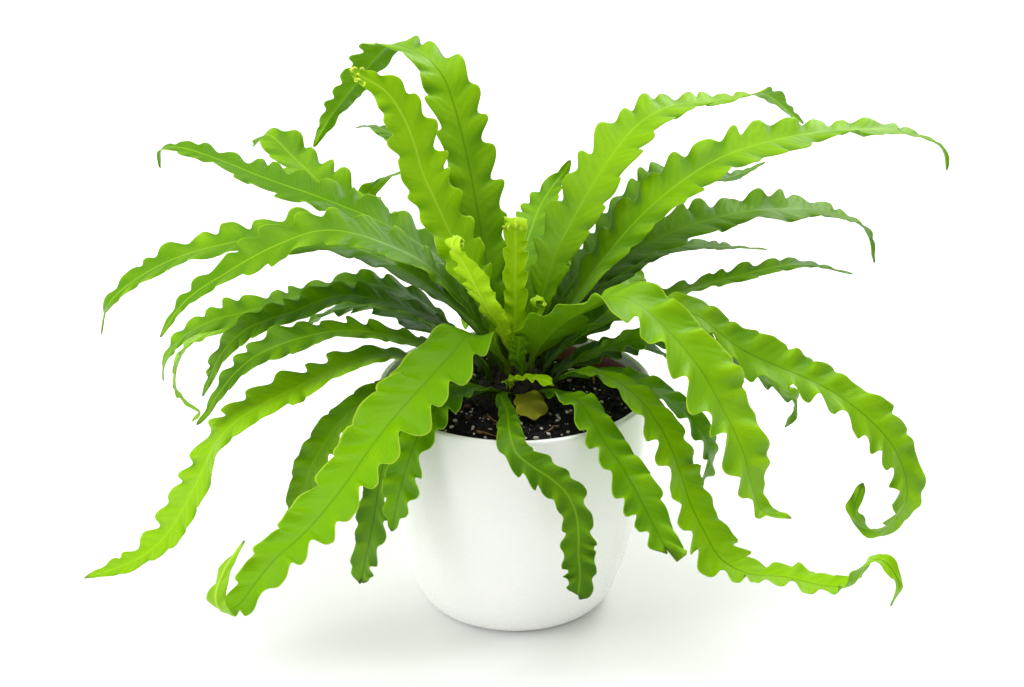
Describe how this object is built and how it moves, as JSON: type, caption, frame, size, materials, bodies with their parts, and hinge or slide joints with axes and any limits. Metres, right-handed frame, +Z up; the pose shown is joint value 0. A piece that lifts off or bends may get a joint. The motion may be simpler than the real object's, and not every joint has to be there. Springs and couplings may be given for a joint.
{
  "type": "potted fern",
  "caption": "Bird's nest fern with long waved strap fronds arching out of a rosette, in a nursery pot of soil inside a white rounded cover pot.",
  "frame": {"origin": "middle of the cover pot's flat base, on the surface it stands on", "axes": "+Z up along the pot, -Y towards the front as pictured, +X to its right"},
  "size_m": [0.5093, 0.4155, 0.3304],
  "materials": {
    "cover_pot": "smooth white, softly glossy",
    "nursery_pot": "thin red-brown plastic, satin",
    "soil": "dark moist potting soil, crumbly",
    "crown": "short fibrous brown stem",
    "leaf_dark": "dark green leaf with a waxy sheen",
    "leaf_mid": "green leaf with a waxy sheen",
    "leaf_bright": "bright yellow-green leaf with a waxy sheen",
    "leaf_young": "tender lime-green leaf, slightly translucent",
    "leaf_old": "withering yellow-brown leaf"
  },
  "bodies": {
    "root": {"cover_pot": "cover_pot", "nursery_pot": "nursery_pot", "soil": "soil", "crown": "crown", "frond_01": "leaf_mid", "frond_02": "leaf_mid", "frond_03": "leaf_mid", "frond_04": "leaf_mid", "frond_05": "leaf_mid", "frond_06": "leaf_mid", "frond_07": "leaf_bright", "frond_08": "leaf_dark", "frond_09": "leaf_mid", "frond_10": "leaf_mid", "frond_11": "leaf_mid", "frond_12": "leaf_dark", "frond_13": "leaf_dark", "frond_14": "leaf_dark", "frond_15": "leaf_dark", "frond_16": "leaf_bright", "frond_17": "leaf_mid", "frond_18": "leaf_mid", "frond_19": "leaf_mid", "frond_20": "leaf_mid", "frond_21": "leaf_mid", "frond_22": "leaf_dark", "frond_23": "leaf_dark", "frond_24": "leaf_bright", "frond_25": "leaf_mid", "frond_26": "leaf_dark", "frond_27": "leaf_dark", "frond_28": "leaf_mid", "frond_29": "leaf_dark", "frond_30": "leaf_dark", "frond_31": "leaf_mid", "frond_32": "leaf_bright", "frond_33": "leaf_dark", "frond_34": "leaf_mid", "frond_35": "leaf_mid", "frond_36": "leaf_dark", "frond_37": "leaf_dark", "frond_38": "leaf_dark", "young_frond_1": "leaf_bright", "young_frond_2": "leaf_young", "young_frond_3": "leaf_dark", "young_frond_4": "leaf_young", "small_leaf": "leaf_bright", "old_leaf": "leaf_old"}
  },
  "joints": []
}
